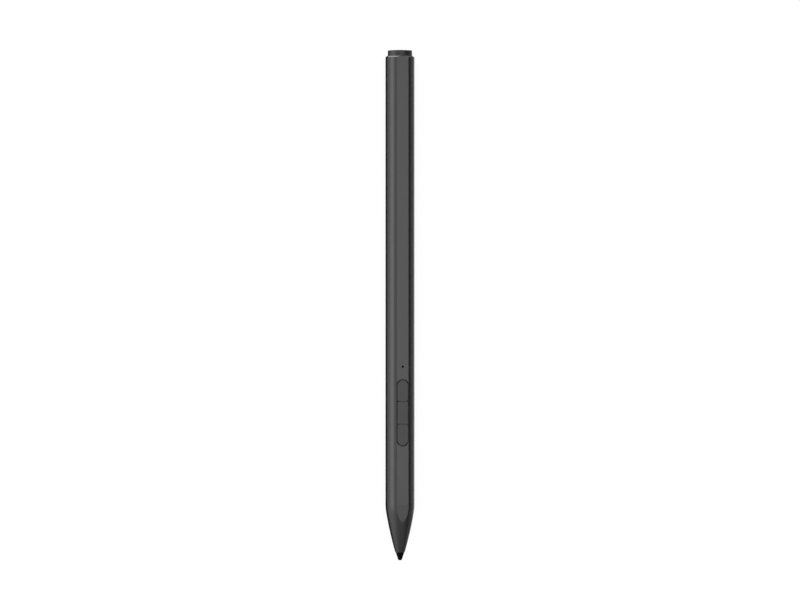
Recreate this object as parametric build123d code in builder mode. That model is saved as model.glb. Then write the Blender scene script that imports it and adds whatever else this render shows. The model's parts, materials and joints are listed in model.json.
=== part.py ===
from build123d import *
import os
from math import cos, pi, radians, sin, sqrt, tan

# Active stylus pen: a round aluminium barrel with one milled flat that carries two keys and a
# signal light, a nib that can be changed, a push button in the tail, and what works inside.
# The pen lies on its round back. Y runs along its axis with the tip towards -Y, the flat faces +Z,
# and the origin is on the table below the middle of its length. A station is a distance along the
# axis from the end of the nib, and a height is measured from the axis towards the flat. All in mm.

# Clearances
seat_gap = 0.1  # a fixed piece to the wall round it
glue_gap = 0.03  # a round piece to what it is bonded to
run_gap = 0.06  # a round piece that slides in its bore, on the radius
key_gap = 0.1  # a key to its stops
cap_gap = 0.2  # a key's cap to its slot
split_gap = 0.06  # a key to the bridge beside it
overrun = 1.0  # how far a cut runs past the face that it opens

# Barrel
barrel_diameter = 9.5
flat_width = 3.9
wall = 0.7
rim_chamfer = 0.4
nose_length = 15.94
lip_wall = 0.15
lip_length = 2.84
shoulder_radius = 18.0
shoulder_turn = 9.7  # degrees that the shoulder turns in before the nose's long arc
flat_lean = 3.6  # degrees that the flat leans in where it runs out on the nose
cavity_length = 14.0
lip_step = 0.35
sleeve_ledge = 0.45

# Nib, with a blunt point
nib_reach = 2.66
nib_diameter = 2.68
nib_point_radius = 0.75
nib_half_angle = 18.0  # degrees
nib_tail = 0.7
shank_diameter = 1.6
shank_length = 5.5
shank_gap = 0.04
socket_spare = 0.3

# Nib carriage, the sleeve that guides it and the force sensor behind it
nib_travel = 0.3
sleeve_length = 11.5
sleeve_wall = 0.32
sleeve_flange = 0.8
carriage_flange = 0.8
carriage_flange_diameter = 5.0
pin_diameter = 2.0
pin_entry = 0.6
pad_core = 0.5
spring_length = 2.8
spring_wire = 0.25
spring_turns = 3.5
spring_sides = 8  # of the wire's section, which keeps the facets of so small a coil few
spring_gap = 0.2
sensor_length = 5.0

# Keys in the flat and the switches under them
slot_setback = 19.0
slot_length = 21.7
slot_spread = 0.04  # how far the slot runs past each edge of the flat
key_length = 6.9
key_corner = 0.7
key_edge = 0.06
key_recess = 0.03
key_travel = 0.25
bridge_margin = 0.04
flange_lip = 0.45
flange_thickness = 0.5
post_length = 0.8
switch_length = 3.6
switch_width = 3.0
switch_floor = 0.2
plunger_diameter = 1.5
plunger_sunk = 0.25
pedestal_width = 2.6
pedestal_length = 5.0

# Signal light
light_setback = 4.2
light_diameter = 0.72
light_recess = 0.35
pipe_foot_diameter = 1.8
led_length = 1.6
led_width = 0.8
led_height = 0.6

# Main board and what is soldered or screwed to it
board_thickness = 0.8
board_bearing = 0.3
board_front_gap = 0.1
part_spacing = 1.7
controller_size = 5.0
controller_height = 0.9
radio_size = 3.0
radio_height = 0.75
screw_diameter = 1.2
screw_head_diameter = 2.0
screw_head_height = 0.5
screw_bite = 0.7  # share of a boss's height that its screw fills
screw_socket_diameter = 0.8
screw_socket_depth = 0.3
screw_setback = 3.0
boss_wall = 0.6
flex_width = 1.2
flex_thickness = 0.12
flex_land = 6.9
flex_tail = 1.8

# Carrier, a half round trough that holds everything behind the sensor
carrier_wall = 0.7
bulkhead = 1.0

# Battery bay and the magnets over it
tray_gap = 1.0
cell_setback = 3.0
cell_length = 40.0
cell_edge = 0.4
lead_diameter = 0.7
lead_spacing = 2.2
lead_land = 2.0
magnet_count = 4
magnet_spacing = 2.0
magnet_margin = 0.27
magnet_thickness = 1.0
pocket_floor = 0.48

# Charging port in the back
bay_gap = 4.0
charge_board_length = 14.0
charge_board_drop = 0.5
rib_bearing = 0.45
rib_length = 1.6
port_opening_length = 8.34
port_opening_width = 2.56
port_shell_wall = 0.3
port_recess = 0.4
tongue_length = 6.7
tongue_thickness = 0.7
tongue_setback = 0.7

# Tail button, its plug and its switch
tail_travel = 0.5
tail_switch_size = 4.0
tail_switch_floor = 0.3
tail_plunger_diameter = 1.8
tail_plunger_sunk = 0.3
snap_room = 1.5
snap_height = 0.5
snap_lip = 0.4
plug_length = 4.5
stem_diameter = 2.4
head_gap = 1.0
head_engagement = 3.2
head_wall = 0.8
head_top = 1.4
button_reach = 2.0
button_crown = 0.15
button_edge = 0.3

# Heights over the axis, worked down from the flat
barrel_radius = barrel_diameter / 2
flat_height = sqrt(barrel_radius**2 - (flat_width / 2) ** 2)
bore_radius = barrel_radius - wall
bore_flat = flat_height - wall
carrier_radius = bore_radius - seat_gap
carrier_flat = bore_flat - seat_gap
channel_radius = carrier_radius - carrier_wall
slot_width = flat_width + 2 * slot_spread
flange_width = slot_width + 2 * flange_lip
key_top = flat_height - key_recess
flange_top = sqrt(bore_radius**2 - (flange_width / 2) ** 2) - key_gap
flange_bottom = flange_top - flange_thickness
plunger_top = flange_bottom - post_length
switch_top = plunger_top - key_travel - key_gap
well_depth = plunger_sunk + key_travel + key_gap
board_top = switch_top - well_depth - switch_floor
board_seat = board_top - board_thickness
screw_length = board_thickness + screw_bite * (board_seat + channel_radius)
tray_ceiling = carrier_flat - magnet_thickness - pocket_floor
flex_bottom = tray_ceiling - seat_gap - flex_thickness
cell_radius = (flex_bottom + channel_radius) / 2 - glue_gap
cell_height = cell_radius + glue_gap - channel_radius
charge_top = carrier_flat - charge_board_drop
charge_bottom = charge_top - board_thickness
port_mouth = port_recess - barrel_radius

# Stations along the axis, from the nib's end to the top of the tail button
mouth_station = nib_reach
lip_station = mouth_station + lip_length
shoulder_station = mouth_station + nose_length
nib_shoulder = lip_station + nib_tail
shank_end = nib_shoulder + shank_length
ledge_station = lip_station + cavity_length
sleeve_front = ledge_station - sleeve_length
sleeve_back = ledge_station + sleeve_flange
pin_front = sleeve_back + carriage_flange
sensor_front = pin_front + spring_length
pin_back = sensor_front + pin_entry
pad_thickness = pad_core + nib_travel
carrier_front = sensor_front + sensor_length
board_front = carrier_front + bulkhead + board_front_gap
slot_front = shoulder_station + slot_setback
slot_back = slot_front + slot_length
light_station = slot_back + light_setback
front_screw = board_front + screw_setback
rear_screw = light_station + (led_length + screw_head_diameter) / 2 + part_spacing
controller_station = rear_screw + (screw_head_diameter + controller_size) / 2 + part_spacing
radio_station = controller_station + (controller_size + radio_size) / 2 + part_spacing
flex_front = radio_station + radio_size / 2 + part_spacing
board_back = flex_front + flex_land
tray_front = board_back + tray_gap
cell_front = board_back + cell_setback
cell_back = cell_front + cell_length
tray_back = cell_back + cell_setback
charge_front = tray_back + bay_gap
charge_back = charge_front + charge_board_length
port_station = (charge_front + charge_back) / 2
carrier_back = charge_back + tray_gap
tail_board_back = carrier_back + board_thickness
tail_well_depth = tail_plunger_sunk + tail_travel + key_gap
tail_switch_back = tail_board_back + tail_well_depth + tail_switch_floor
stem_end = tail_switch_back + tail_travel + 2 * key_gap
plug_front = tail_switch_back + snap_room
plug_back = plug_front + plug_length
head_front = plug_back + head_gap
barrel_end = head_front + head_engagement
pen_length = barrel_end + button_reach

# Radii that follow from a fit
nib_radius = nib_diameter / 2
lip_radius = nib_radius + run_gap
mouth_radius = lip_radius + lip_wall
cavity_front_radius = lip_radius + lip_step
cavity_back_radius = bore_radius - sleeve_ledge
cavity_slope = (cavity_back_radius - cavity_front_radius) / cavity_length
sleeve_front_radius = cavity_front_radius + cavity_slope * (sleeve_front - lip_station) - seat_gap
carriage_radius = sleeve_front_radius - sleeve_wall - run_gap
socket_radius = shank_diameter / 2 + shank_gap
button_radius = bore_radius - run_gap
port_shell_length = port_opening_length + 2 * port_shell_wall
port_shell_width = port_opening_width + 2 * port_shell_wall

# Planes of the pen
side = Plane(origin=(0, -pen_length / 2, barrel_radius), x_dir=(0, 1, 0), z_dir=(1, 0, 0))
pen_axis = Axis(side.origin, side.x_dir)


def across(station):
    """Plane square to the axis, with its y upwards and its normal towards the tip."""
    return Plane(origin=side.from_local_coords((station, 0, 0)), x_dir=(1, 0, 0), z_dir=(0, -1, 0))


def deck(height):
    """Level plane at a height over the axis: x runs across the pen and y is the station."""
    return Plane(origin=side.from_local_coords((0, height, 0)), x_dir=(1, 0, 0), z_dir=(0, 0, 1))


def round_with_flat(radius, flat):
    """Sketch of a round section whose top is cut off level."""
    Circle(radius)
    with Locations((0, flat)):
        Rectangle(2 * radius, radius, align=(Align.CENTER, Align.MIN), mode=Mode.SUBTRACT)


def lower_round(radius, height):
    """Sketch of the part of a round section that lies below a height."""
    Circle(radius)
    with Locations((0, height)):
        Rectangle(2 * radius, 2 * radius, align=(Align.CENTER, Align.MIN), mode=Mode.SUBTRACT)


# Barrel: turned outside, milled flat, keyed bore, and openings for keys, light and port
with BuildPart() as barrel:
    with BuildSketch(side):
        with BuildLine():
            shoulder = JernArc((shoulder_station, barrel_radius), (-1, 0), shoulder_radius, shoulder_turn)
            TangentArc(shoulder @ 1, (mouth_station, mouth_radius), tangent=shoulder % 1)
            Polyline(
                (mouth_station, mouth_radius),
                (mouth_station, 0),
                (barrel_end, 0),
                (barrel_end, barrel_radius - rim_chamfer),
                (barrel_end - rim_chamfer, barrel_radius),
                (shoulder_station, barrel_radius),
            )
        make_face()
    revolve(axis=pen_axis)
    with BuildSketch(side):
        flat_drop = (nose_length + overrun) * tan(radians(flat_lean))
        Polygon(
            (mouth_station - overrun, flat_height - flat_drop),
            (shoulder_station, flat_height),
            (barrel_end + overrun, flat_height),
            (barrel_end + overrun, barrel_diameter),
            (mouth_station - overrun, barrel_diameter),
            align=None,
        )
    extrude(amount=barrel_diameter, both=True, mode=Mode.SUBTRACT)
    with BuildSketch(across(barrel_end + overrun)):
        round_with_flat(bore_radius, bore_flat)
    extrude(amount=barrel_end + overrun - ledge_station, mode=Mode.SUBTRACT)
    with BuildSketch(across(barrel_end + overrun)):
        Circle(bore_radius)
    extrude(amount=barrel_end + overrun - plug_front, mode=Mode.SUBTRACT)
    with BuildSketch(side):
        Polygon(
            (mouth_station - overrun, 0),
            (mouth_station - overrun, lip_radius),
            (lip_station, lip_radius),
            (lip_station, cavity_front_radius),
            (ledge_station, cavity_back_radius),
            (ledge_station + overrun, cavity_back_radius),
            (ledge_station + overrun, 0),
            align=None,
        )
    revolve(axis=pen_axis, mode=Mode.SUBTRACT)
    with BuildSketch(deck(bore_flat - overrun)):
        with Locations((0, (slot_front + slot_back) / 2)):
            SlotOverall(slot_length, slot_width, rotation=90)
        with Locations((0, light_station)):
            Circle(light_diameter / 2)
    extrude(amount=wall + 2 * overrun, mode=Mode.SUBTRACT)
    with BuildSketch(deck(-barrel_radius - overrun)):
        with Locations((0, port_station)):
            SlotOverall(port_shell_length + 2 * seat_gap, port_shell_width + 2 * seat_gap, rotation=90)
    extrude(amount=barrel_radius + overrun, mode=Mode.SUBTRACT)

# Nib: blunt point, cone, guided collar and a thin shank that plugs into the carriage
with BuildPart() as nib:
    with BuildSketch(side):
        half_angle = radians(nib_half_angle)
        point_station = nib_point_radius * (1 - sin(half_angle))
        point_edge = nib_point_radius * cos(half_angle)
        cone_end = point_station + (nib_radius - point_edge) / tan(half_angle)
        with BuildLine():
            TangentArc((0, 0), (point_station, point_edge), tangent=(0, 1))
            Polyline(
                (point_station, point_edge),
                (cone_end, nib_radius),
                (nib_shoulder, nib_radius),
                (nib_shoulder, shank_diameter / 2),
                (shank_end, shank_diameter / 2),
                (shank_end, 0),
                (0, 0),
            )
        make_face()
    revolve(axis=pen_axis)

# Guide sleeve: fills the nose behind the lip and seats on the ledge of the bore
with BuildPart() as guide_sleeve:
    with BuildSketch(side):
        Polygon(
            (sleeve_front, carriage_radius + run_gap),
            (sleeve_front, sleeve_front_radius),
            (ledge_station, cavity_back_radius - seat_gap),
            (ledge_station, carriage_radius + run_gap),
            align=None,
        )
    revolve(axis=pen_axis)
    with BuildSketch(across(sleeve_back)):
        round_with_flat(carrier_radius, carrier_flat)
        Circle(carriage_radius + run_gap, mode=Mode.SUBTRACT)
    extrude(amount=sleeve_flange)

# Nib carriage: socket for the nib's shank, stop flange and the pin that presses on the sensor
with BuildPart() as nib_carriage:
    with BuildSketch(side):
        Polygon(
            (nib_shoulder, socket_radius),
            (nib_shoulder, carriage_radius),
            (sleeve_back, carriage_radius),
            (sleeve_back, carriage_flange_diameter / 2),
            (pin_front, carriage_flange_diameter / 2),
            (pin_front, pin_diameter / 2),
            (pin_back, pin_diameter / 2),
            (pin_back, 0),
            (shank_end + socket_spare, 0),
            (shank_end + socket_spare, socket_radius),
            align=None,
        )
    revolve(axis=pen_axis)

# Return spring: an open coil round the pin, made of two tangent arcs for each half turn
coil_radius = pin_diameter / 2 + spring_gap + spring_wire / 2
coil_front = pin_front + spring_wire / 2 + glue_gap
coil_pitch = (spring_length - spring_wire - 2 * glue_gap) / spring_turns
half_turns = round(2 * spring_turns)


def coil_point(turn):
    """Point of the coil's centre line after a number of turns."""
    angle = 2 * pi * turn
    station = coil_front + coil_pitch * turn
    return side.from_local_coords(Vector(station, coil_radius * cos(angle), coil_radius * sin(angle)))


def coil_heading(turn):
    """Direction in which the coil's centre line runs after a number of turns."""
    angle = 2 * pi * turn
    climb = Vector(coil_pitch, -2 * pi * coil_radius * sin(angle), 2 * pi * coil_radius * cos(angle))
    return (side.from_local_coords(climb) - side.origin).normalized()


def arm_length(start, end, start_heading, end_heading):
    """Length of the two equal arms whose ends are joined by the middle of a pair of arcs."""
    chord = end - start
    both = start_heading + end_heading
    square = 2 * (1 - start_heading.dot(end_heading))
    reach = chord.dot(both)
    return (sqrt(reach**2 + square * chord.dot(chord)) - reach) / square


with BuildPart() as return_spring:
    with BuildLine() as coil:
        for step in range(half_turns):
            start, end = coil_point(step / 2), coil_point((step + 1) / 2)
            start_heading, end_heading = coil_heading(step / 2), coil_heading((step + 1) / 2)
            arm = arm_length(start, end, start_heading, end_heading)
            start_arm = start + start_heading * arm
            end_arm = end - end_heading * arm
            middle = (start_arm + end_arm) / 2
            TangentArc(start, middle, tangent=start_heading)
            TangentArc(middle, end, tangent=(end_arm - start_arm).normalized())
    with BuildSketch(Plane(origin=coil_point(0), z_dir=coil_heading(0))):
        RegularPolygon(spring_wire / 2, spring_sides)
    sweep(path=coil.wire())

# Force sensor: keyed block with a well in front for the pin and its pad
with BuildPart() as force_sensor:
    with BuildSketch(across(carrier_front)):
        round_with_flat(carrier_radius, carrier_flat)
    extrude(amount=sensor_length)
    with BuildSketch(across(pin_back + pad_thickness)):
        Circle(pin_diameter / 2 + seat_gap)
    extrude(amount=pin_entry + pad_thickness + overrun, mode=Mode.SUBTRACT)

# Force pad: silicone between the pin and the floor of the sensor's well
with BuildPart() as force_pad:
    with BuildSketch(across(pin_back + pad_thickness)):
        Circle(pin_diameter / 2)
    extrude(amount=pad_thickness)

# Carrier: trough of three bays with bulkheads between, screw bosses, ribs for the charging board
# and an opening for the port
with BuildPart() as carrier:
    with BuildSketch(across(carrier_back)):
        lower_round(carrier_radius, board_seat)
    extrude(amount=carrier_back - carrier_front)
    bays = (
        (carrier_front + bulkhead, cell_front - seat_gap - bulkhead),
        (cell_front - seat_gap, cell_back + seat_gap),
        (cell_back + seat_gap + bulkhead, carrier_back - bulkhead),
    )
    for bay_front, bay_back in bays:
        with BuildSketch(across(bay_back)):
            Circle(channel_radius)
        extrude(amount=bay_back - bay_front, mode=Mode.SUBTRACT)
    with BuildSketch(deck(board_seat)):
        with Locations((0, front_screw), (0, rear_screw)):
            Circle(screw_diameter / 2 + boss_wall)
    extrude(amount=-(board_seat + channel_radius + carrier_wall / 2))
    with BuildSketch(deck(board_seat)):
        with Locations((0, front_screw), (0, rear_screw)):
            Circle(screw_diameter / 2 + glue_gap)
    extrude(amount=-(screw_length + seat_gap - board_thickness), mode=Mode.SUBTRACT)
    rib_inside = sqrt(carrier_radius**2 - charge_top**2) - seat_gap - rib_bearing
    rib_height = charge_bottom - board_seat + carrier_wall
    for rib_back in (charge_front + rib_length, charge_back):
        with BuildSketch(across(rib_back)):
            Circle(carrier_radius - glue_gap)
            with Locations((0, charge_bottom)):
                Rectangle(
                    2 * carrier_radius, rib_height, align=(Align.CENTER, Align.MAX), mode=Mode.INTERSECT
                )
            Rectangle(2 * rib_inside, 2 * carrier_radius, mode=Mode.SUBTRACT)
        extrude(amount=rib_length)
    with BuildSketch(deck(-barrel_radius)):
        with Locations((0, port_station)):
            SlotOverall(port_shell_length + 2 * seat_gap, port_shell_width + 2 * seat_gap, rotation=90)
    extrude(amount=barrel_radius + board_seat + overrun, mode=Mode.SUBTRACT)

# Main board: lies on the rims of the carrier, with two holes for its screws
with BuildPart() as main_board:
    board_half = sqrt(channel_radius**2 - board_seat**2) + board_bearing
    with BuildSketch(deck(board_seat)):
        with Locations((0, (board_front + board_back) / 2)):
            Rectangle(2 * board_half, board_back - board_front)
        with Locations((0, front_screw), (0, rear_screw)):
            Circle(screw_diameter / 2 + glue_gap, mode=Mode.SUBTRACT)
    extrude(amount=board_thickness)

# Board screws: two socket screws that hold the board down on the carrier's bosses
with BuildPart() as board_screws:
    with BuildSketch(deck(board_top)):
        with Locations((0, front_screw), (0, rear_screw)):
            Circle(screw_diameter / 2)
    extrude(amount=-screw_length)
    with BuildSketch(deck(board_top)):
        with Locations((0, front_screw), (0, rear_screw)):
            Circle(screw_head_diameter / 2)
    extrude(amount=screw_head_height)
    with BuildSketch(deck(board_top + screw_head_height)):
        with Locations((0, front_screw), (0, rear_screw)):
            RegularPolygon(screw_socket_diameter / 2, 6)
    extrude(amount=-screw_socket_depth, mode=Mode.SUBTRACT)


def chip(station, length, width, height):
    """Block soldered to the top of the main board."""
    with BuildPart() as block:
        with BuildSketch(deck(board_top)):
            with Locations((0, station)):
                Rectangle(width, length)
        extrude(amount=height)
    return block


controller_chip = chip(controller_station, controller_size, controller_size, controller_height)
radio_chip = chip(radio_station, radio_size, radio_size, radio_height)
status_led = chip(light_station, led_length, led_width, led_height)

# Light pipe: carries the light from the LED up through the flat
with BuildPart() as light_pipe:
    pipe_foot = board_top + led_height
    with BuildSketch(deck(pipe_foot)):
        with Locations((0, light_station)):
            Circle(pipe_foot_diameter / 2)
    extrude(amount=carrier_flat - pipe_foot)
    with BuildSketch(deck(carrier_flat)):
        with Locations((0, light_station)):
            Circle(light_diameter / 2 - glue_gap)
    extrude(amount=flat_height - light_recess - carrier_flat)


def key(outer_end, inner_end):
    """Key that fills one end of the slot, with a flange under the wall and a post on its switch."""
    low_end, high_end = sorted((outer_end, inner_end))
    outwards = (outer_end - inner_end) / abs(outer_end - inner_end)
    flange_end = outer_end + outwards * flange_lip
    flange_low, flange_high = sorted((flange_end, inner_end))
    with BuildPart() as cap:
        with BuildSketch(deck(flange_top)) as outline:
            with Locations((0, (slot_front + slot_back) / 2)):
                SlotOverall(slot_length - 2 * cap_gap, slot_width - 2 * cap_gap, rotation=90)
            with Locations((0, (low_end + high_end) / 2)):
                Rectangle(slot_width, high_end - low_end, mode=Mode.INTERSECT)
            inner_corners = outline.vertices().sort_by(Axis.Y, reverse=outwards < 0)[:2]
            fillet(inner_corners, radius=key_corner)
        extrude(amount=key_top - flange_top)
        chamfer(cap.faces().sort_by(Axis.Z)[-1].edges(), length=key_edge)
        with BuildSketch(deck(flange_bottom)):
            with Locations((0, (flange_low + flange_high) / 2)):
                Rectangle(flange_width, flange_high - flange_low)
        extrude(amount=flange_thickness)
        with BuildSketch(deck(plunger_top)):
            with Locations((0, (low_end + high_end) / 2)):
                Circle(plunger_diameter / 2)
        extrude(amount=post_length)
    return cap


front_key_ends = (slot_front + cap_gap, slot_front + cap_gap + key_length)
rear_key_ends = (slot_back - cap_gap, slot_back - cap_gap - key_length)
front_key = key(*front_key_ends)
rear_key = key(*rear_key_ends)

# Key bridge: fixed piece that fills the slot between the keys and stands on the board
with BuildPart() as key_bridge:
    bridge_station = (slot_front + slot_back) / 2
    bridge_length = rear_key_ends[1] - front_key_ends[1] - 2 * split_gap
    with BuildSketch(deck(flange_top)):
        with Locations((0, bridge_station)):
            Rectangle(slot_width - 2 * cap_gap - 2 * bridge_margin, bridge_length)
    extrude(amount=key_top - flange_top)
    chamfer(key_bridge.faces().sort_by(Axis.Z)[-1].edges(), length=key_edge)
    with BuildSketch(deck(flange_bottom)):
        with Locations((0, bridge_station)):
            Rectangle(flange_width, bridge_length)
    extrude(amount=flange_thickness)
    with BuildSketch(deck(board_top)):
        with Locations((0, bridge_station)):
            Rectangle(pedestal_width, pedestal_length)
    extrude(amount=flange_bottom - board_top)


def key_switch(station):
    """Body of a tact switch on the main board, with a well for its plunger."""
    with BuildPart() as body:
        with BuildSketch(deck(board_top)):
            with Locations((0, station)):
                Rectangle(switch_width, switch_length)
        extrude(amount=switch_top - board_top)
        with BuildSketch(deck(switch_top)):
            with Locations((0, station)):
                Circle(plunger_diameter / 2 + run_gap)
        extrude(amount=-well_depth, mode=Mode.SUBTRACT)
    return body


def key_plunger(station):
    """Plunger of a tact switch, held up against the key's post."""
    with BuildPart() as plunger:
        with BuildSketch(deck(plunger_top)):
            with Locations((0, station)):
                Circle(plunger_diameter / 2)
        extrude(amount=-(plunger_top - switch_top + plunger_sunk))
    return plunger


front_switch = key_switch(sum(front_key_ends) / 2)
rear_switch = key_switch(sum(rear_key_ends) / 2)
front_plunger = key_plunger(sum(front_key_ends) / 2)
rear_plunger = key_plunger(sum(rear_key_ends) / 2)

# Battery cell: pin shaped lithium cell in the trough
with BuildPart() as battery_cell:
    with BuildSketch(across(cell_back)):
        with Locations((0, cell_height)):
            Circle(cell_radius)
    extrude(amount=cell_length)
    chamfer(battery_cell.edges().filter_by(GeomType.CIRCLE), length=cell_edge)

# Battery leads: two short wires from the cell's end to the board
with BuildPart() as battery_leads:
    with BuildSketch(across(cell_front)):
        with Locations((0, board_top + lead_diameter / 2)):
            with GridLocations(lead_spacing, 0, 2, 1):
                Circle(lead_diameter / 2)
    extrude(amount=cell_setback + lead_land)

# Magnet tray: cover over the cell with a row of pockets under the flat
tray_length = tray_back - tray_front
magnet_pitch = (tray_length - magnet_spacing) / magnet_count
magnet_length = magnet_pitch - magnet_spacing
magnet_width = 2 * sqrt(carrier_radius**2 - carrier_flat**2) - 2 * magnet_margin
magnet_stations = [
    tray_front + magnet_spacing + magnet_length / 2 + magnet_pitch * place for place in range(magnet_count)
]
with BuildPart() as magnet_tray:
    with BuildSketch(across(tray_back)):
        round_with_flat(carrier_radius, carrier_flat)
        with Locations((0, board_seat)):
            Rectangle(
                2 * carrier_radius, 2 * carrier_radius, align=(Align.CENTER, Align.MAX), mode=Mode.SUBTRACT
            )
        with BuildSketch(mode=Mode.PRIVATE) as room:
            round_with_flat(channel_radius, tray_ceiling)
        add(room.sketch, mode=Mode.SUBTRACT)
    extrude(amount=tray_length)
    with BuildSketch(deck(carrier_flat)):
        with Locations(*[(0, station) for station in magnet_stations]):
            Rectangle(magnet_width, magnet_length)
    extrude(amount=-magnet_thickness, mode=Mode.SUBTRACT)


def magnet(station):
    """Bar magnet that fills one pocket of the tray."""
    with BuildPart() as bar:
        with BuildSketch(deck(carrier_flat)):
            with Locations((0, station)):
                Rectangle(magnet_width - 2 * glue_gap, magnet_length - 2 * glue_gap)
        extrude(amount=-magnet_thickness)
    return bar


# Main flex: flat cable from the main board over the cell to the charging board
with BuildPart() as main_flex:
    flex_path = (
        (flex_front, board_top),
        (board_back, board_top),
        (cell_front, flex_bottom),
        (tray_back, flex_bottom),
        (charge_front, charge_bottom - flex_thickness),
        (charge_front + flex_tail, charge_bottom - flex_thickness),
    )
    with BuildSketch(side):
        with BuildLine():
            flex_over = [(station, height + flex_thickness) for station, height in flex_path]
            Polyline(*flex_path, *reversed(flex_over), close=True)
        make_face()
    extrude(amount=flex_width / 2, both=True)

# Charging board: hangs over the port on the carrier's ribs
with BuildPart() as charge_board:
    with BuildSketch(deck(charge_bottom)):
        with Locations((0, port_station)):
            Rectangle(2 * (sqrt(carrier_radius**2 - charge_top**2) - seat_gap), charge_board_length)
    extrude(amount=board_thickness)

# Port shell: deep drawn cup whose mouth opens in the barrel's back
with BuildPart() as port_shell:
    with BuildSketch(deck(charge_bottom)):
        with Locations((0, port_station)):
            SlotOverall(port_shell_length, port_shell_width, rotation=90)
    extrude(amount=port_mouth - charge_bottom)
    with BuildSketch(deck(charge_bottom - port_shell_wall)):
        with Locations((0, port_station)):
            SlotOverall(port_opening_length, port_opening_width, rotation=90)
    extrude(amount=port_mouth - charge_bottom - overrun, mode=Mode.SUBTRACT)

# Port tongue: contact plate in the middle of the shell
with BuildPart() as port_tongue:
    tongue_base = charge_bottom - port_shell_wall
    with BuildSketch(deck(tongue_base)):
        with Locations((0, port_station)):
            Rectangle(tongue_thickness, tongue_length)
    extrude(amount=port_mouth + tongue_setback - tongue_base)

# Tail board: closes the carrier's end and carries the tail switch
with BuildPart() as tail_board:
    with BuildSketch(across(tail_board_back)):
        round_with_flat(carrier_radius, carrier_flat)
    extrude(amount=board_thickness)

with BuildPart() as tail_switch:
    with BuildSketch(across(tail_switch_back)):
        Rectangle(tail_switch_size, tail_switch_size)
    extrude(amount=tail_switch_back - tail_board_back)
    with BuildSketch(across(tail_switch_back)):
        Circle(tail_plunger_diameter / 2 + run_gap)
    extrude(amount=tail_well_depth, mode=Mode.SUBTRACT)

with BuildPart() as tail_plunger:
    with BuildSketch(across(stem_end)):
        Circle(tail_plunger_diameter / 2)
    extrude(amount=stem_end - tail_switch_back + tail_plunger_sunk)

# Tail plug: bonded into the round end of the bore, guides the button's stem
with BuildPart() as tail_plug:
    with BuildSketch(across(plug_back)):
        Circle(bore_radius - glue_gap)
        Circle(stem_diameter / 2 + run_gap, mode=Mode.SUBTRACT)
    extrude(amount=plug_length)

# Tail button: crowned cap with a skirt in the bore, and a stem that snaps in behind the plug
with BuildPart() as tail_button:
    with BuildSketch(side) as button_outline:
        stem_radius = stem_diameter / 2
        snap_back = plug_front - key_gap
        skirt_inside = button_radius - head_wall
        crown_edge = pen_length - button_crown
        with BuildLine():
            Polyline(
                (crown_edge, button_radius),
                (head_front, button_radius),
                (head_front, skirt_inside),
                (crown_edge - head_top, skirt_inside),
                (crown_edge - head_top, stem_radius),
                (snap_back, stem_radius),
                (snap_back, stem_radius + snap_lip),
                (snap_back - snap_height, stem_radius),
                (stem_end, stem_radius),
                (stem_end, 0),
                (pen_length, 0),
            )
            TangentArc((pen_length, 0), (crown_edge, button_radius), tangent=(0, 1))
        make_face()
        crown_rim = button_outline.vertices().group_by(Axis.Y)[-1].sort_by(Axis.X)[-1]
        chamfer(crown_rim, length=button_edge)
    revolve(axis=pen_axis)

pieces = {
    "barrel": barrel,
    "nib": nib,
    "guide_sleeve": guide_sleeve,
    "nib_carriage": nib_carriage,
    "return_spring": return_spring,
    "force_sensor": force_sensor,
    "force_pad": force_pad,
    "carrier": carrier,
    "main_board": main_board,
    "board_screws": board_screws,
    "controller_chip": controller_chip,
    "radio_chip": radio_chip,
    "status_led": status_led,
    "light_pipe": light_pipe,
    "front_key": front_key,
    "rear_key": rear_key,
    "key_bridge": key_bridge,
    "front_switch": front_switch,
    "rear_switch": rear_switch,
    "front_plunger": front_plunger,
    "rear_plunger": rear_plunger,
    "battery_cell": battery_cell,
    "battery_leads": battery_leads,
    "magnet_tray": magnet_tray,
    "main_flex": main_flex,
    "charge_board": charge_board,
    "port_shell": port_shell,
    "port_tongue": port_tongue,
    "tail_board": tail_board,
    "tail_switch": tail_switch,
    "tail_plunger": tail_plunger,
    "tail_plug": tail_plug,
    "tail_button": tail_button,
}
for number, station in enumerate(magnet_stations, start=1):
    pieces[f"magnet_{number}"] = magnet(station)

os.makedirs("parts", exist_ok=True)
for name, piece in pieces.items():
    piece.part.label = name
    export_step(piece.part, f"parts/{name}.step")

print(f"pen length {pen_length:.2f}, flat height {flat_height:.3f}, board seat {board_seat:.3f}")
print(f"cell diameter {2 * cell_radius:.2f}, coil gap {coil_pitch - spring_wire:.2f}")
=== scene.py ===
import json
from math import acos, asin, cos, exp, log, pi, radians, sin, tan

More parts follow.
